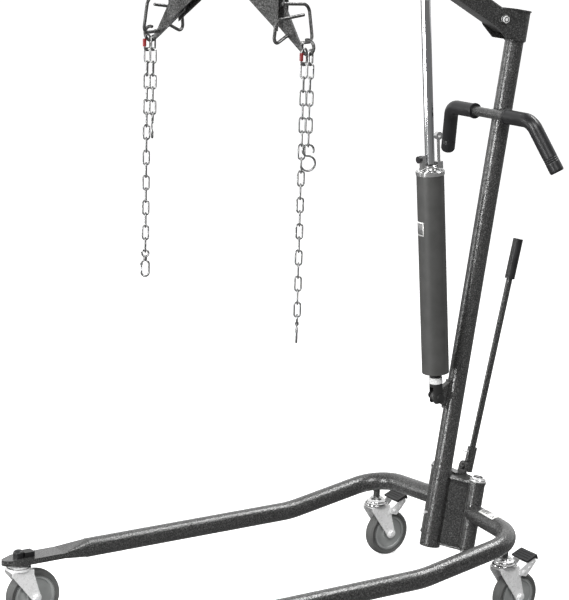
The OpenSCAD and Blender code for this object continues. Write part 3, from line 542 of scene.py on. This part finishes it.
# ---------------------------------------------------------------- welds
bead("weld_head", ring(25.3, 1449.4), MAST, "base", 1.5, closed=True)
bead("weld_socket", ring(25.6, 327.6), MAST, "base", 1.5, closed=True)
for s, side in ((1, "l"), (-1, "r")):
    bead(f"weld_lug_{side}", [(s * 9, -29.4, 494), (s * 9, -29.4, 562)], MAST, "base", 1.5)
for z, side in ((1259.5, "up"), (1240.5, "down")):
    bead(f"weld_bar_{side}", [(-11, 91.0, z), (11, 91.0, z)], WORLD, "base", 2.0)

# ---------------------------------------------------------------- boom pivot bolt
for s, side in ((1, "l"), (-1, "r")):
    m = along_x(s * 31.3, PIVOT_Y, PIVOT_Z, flip=s < 0)
    lathe(f"pivot_washer_{side}",
          [(6, -0.2), (11.8, -0.2), (12.4, 0.4), (12, 1.0), (6, 1.0)], m, "powder", "base")
    # painted shade: a thin dark ring stands in for the shade in the recess of the bolt head
    lathe(f"pivot_recess_painted_shade_{side}",
          [(4.4, 5.4), (7, 5.4), (6.8, 5.95), (4.6, 5.95)], m, "blackmetal", "base", k=40)

# ---------------------------------------------------------------- stage, lights, camera
def stage_plane(name, size, loc, rot, color):
    bpy.ops.mesh.primitive_plane_add(size=size, location=loc, rotation=rot)
    o = bpy.context.object
    o.name = name
    m = Mat(name + "_matte", color, 0.0, 0.9)
    m.b.inputs["Emission Color"].default_value = (1, 1, 1, 1)
    lp = m.t.nodes.new("ShaderNodeLightPath")
    glow = m.t.nodes.new("ShaderNodeMapRange")
    glow.inputs["To Min"].default_value = 0.1
    glow.inputs["To Max"].default_value = 0.62
    m.link(lp.outputs["Is Camera Ray"], glow.inputs["Value"])
    m.link(glow.outputs["Result"], m.b.inputs["Emission Strength"])
    m.color(m.mix(lp.outputs["Is Camera Ray"], (0.1, 0.1, 0.1), color))
    o.data.materials.append(m.m)
    return o


stage_plane("floor", 60, (0, 0, 0), (0, 0, 0), (0.93, 0.93, 0.93))


def area(name, loc, target, size, power, size_y=None):
    light = bpy.data.lights.new(name, "AREA")
    light.energy = power
    light.size = size
    if size_y:
        light.shape = "RECTANGLE"
        light.size_y = size_y
    o = bpy.data.objects.new(name, light)
    o.location = loc
    o.rotation_euler = (Vector(target) - Vector(loc)).to_track_quat("-Z", "Y").to_euler()
    bpy.context.scene.collection.objects.link(o)
    return o


area("key", (0.8, -4.1, 1.6), (0, 0.1, 0.9), 0.5, 150, 3.2)
area("edge", (-2.6, -3.7, 1.3), (0, 0.3, 0.9), 0.9, 60, 3.2)
area("side", (3.4, -1.6, 4.0), (0, -0.1, 0.4), 2.5, 170)
area("top", (0.3, 2.1, 3.9), (0.1, -0.3, 0.3), 2.6, 90, 0.5)
world = bpy.data.worlds.new("studio")
bpy.context.scene.world = world
world.use_nodes = True
wt = world.node_tree
coord = wt.nodes.new("ShaderNodeTexCoord")
dot = wt.nodes.new("ShaderNodeVectorMath")
dot.operation = "DOT_PRODUCT"
dot.inputs[1].default_value = (-0.83, 0.55, 0.1)       # the white side of the studio
ramp = wt.nodes.new("ShaderNodeValToRGB")
ramp.color_ramp.elements[0].position, ramp.color_ramp.elements[0].color = 0.0, (0.1, 0.1, 0.1, 1)
ramp.color_ramp.elements[1].position, ramp.color_ramp.elements[1].color = 0.68, (1, 1, 1, 1)
mid = ramp.color_ramp.elements.new(0.48)
mid.color = (0.07, 0.07, 0.07, 1)
wt.links.new(coord.outputs["Generated"], dot.inputs[0])
half = wt.nodes.new("ShaderNodeMapRange")
half.inputs["From Min"].default_value = -1
wt.links.new(dot.outputs["Value"], half.inputs["Value"])
wt.links.new(half.outputs["Result"], ramp.inputs["Fac"])
wt.links.new(ramp.outputs["Color"], wt.nodes["Background"].inputs["Color"])
wt.nodes["Background"].inputs["Strength"].default_value = 1.0
white = wt.nodes.new("ShaderNodeBackground")           # what the lens sees behind the object
white.inputs["Color"].default_value = (1, 1, 1, 1)
path = wt.nodes.new("ShaderNodeLightPath")
pick = wt.nodes.new("ShaderNodeMixShader")
wt.links.new(path.outputs["Is Camera Ray"], pick.inputs["Fac"])
wt.links.new(wt.nodes["Background"].outputs["Background"], pick.inputs[1])
wt.links.new(white.outputs["Background"], pick.inputs[2])
wt.links.new(pick.outputs["Shader"], wt.nodes["World Output"].inputs["Surface"])

az, el, roll = math.radians(56.61), math.radians(12.74), math.radians(1.49)
d = Vector((-math.sin(az) * math.cos(el), math.cos(az) * math.cos(el), -math.sin(el)))
right = Vector((math.cos(az), math.sin(az), 0))
up = right.cross(d)
r2 = right * math.cos(roll) + up * math.sin(roll)
u2 = -right * math.sin(roll) + up * math.cos(roll)
cam = bpy.data.cameras.new("camera")
cam.sensor_fit = "VERTICAL"
cam.sensor_height = 36
cam.lens = 118.1
cam.shift_y = 0.0193
cam.clip_start, cam.clip_end = 0.05, 100
cam_obj = bpy.data.objects.new("camera", cam)
rot = Matrix((r2, u2, -d)).transposed().to_4x4()
cam_obj.matrix_world = Matrix.Translation((3.88314, -3.09314 + DY, 1.84886)) @ rot
bpy.context.scene.collection.objects.link(cam_obj)
bpy.context.scene.camera = cam_obj
bpy.context.scene.view_settings.view_transform = "Standard"
